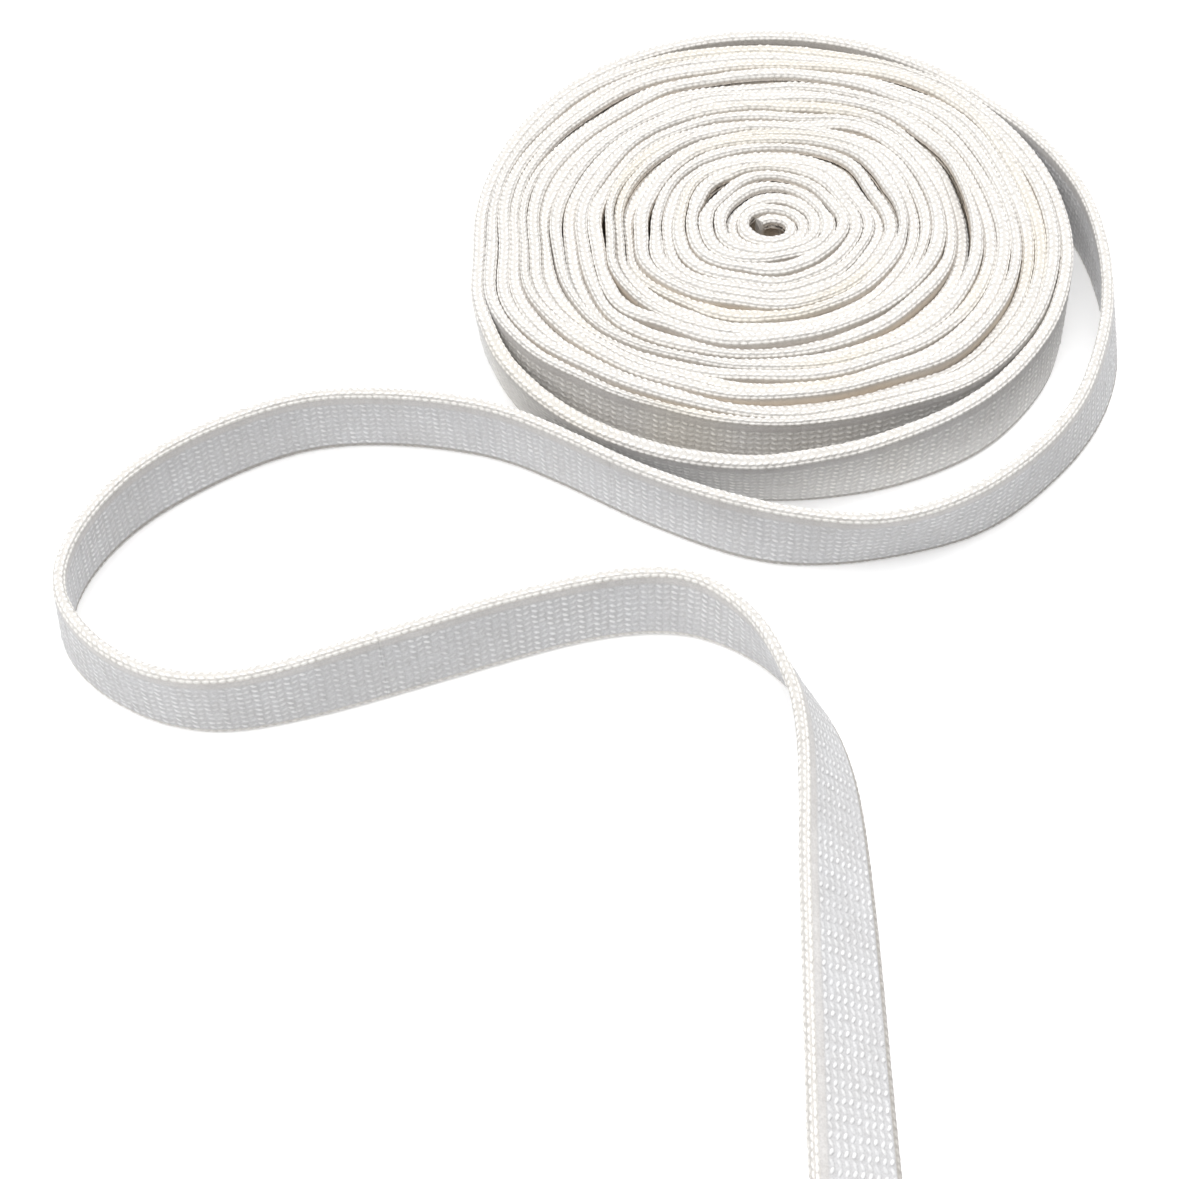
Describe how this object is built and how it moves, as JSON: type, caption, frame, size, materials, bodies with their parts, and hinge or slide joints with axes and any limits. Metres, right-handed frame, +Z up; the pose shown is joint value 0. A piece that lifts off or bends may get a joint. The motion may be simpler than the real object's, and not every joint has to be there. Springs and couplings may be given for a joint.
{
  "type": "roll of cotton webbing",
  "caption": "Flat woven cotton webbing wound edge-up into a loose flat roll, with its loose end looping away on its edge and turning over flat.",
  "frame": {"origin": "middle of the roll, on the surface it lies on", "axes": "+Z up through the middle of the roll; -Y the way the turned-over loose end runs off, the side the picture is taken from; -X the side the loop reaches out to"},
  "size_m": [0.1667, 0.2317, 0.0137],
  "materials": {
    "cotton": "matte"
  },
  "bodies": {
    "root": {"wound_roll": "cotton", "loose_end": "cotton"}
  },
  "joints": []
}
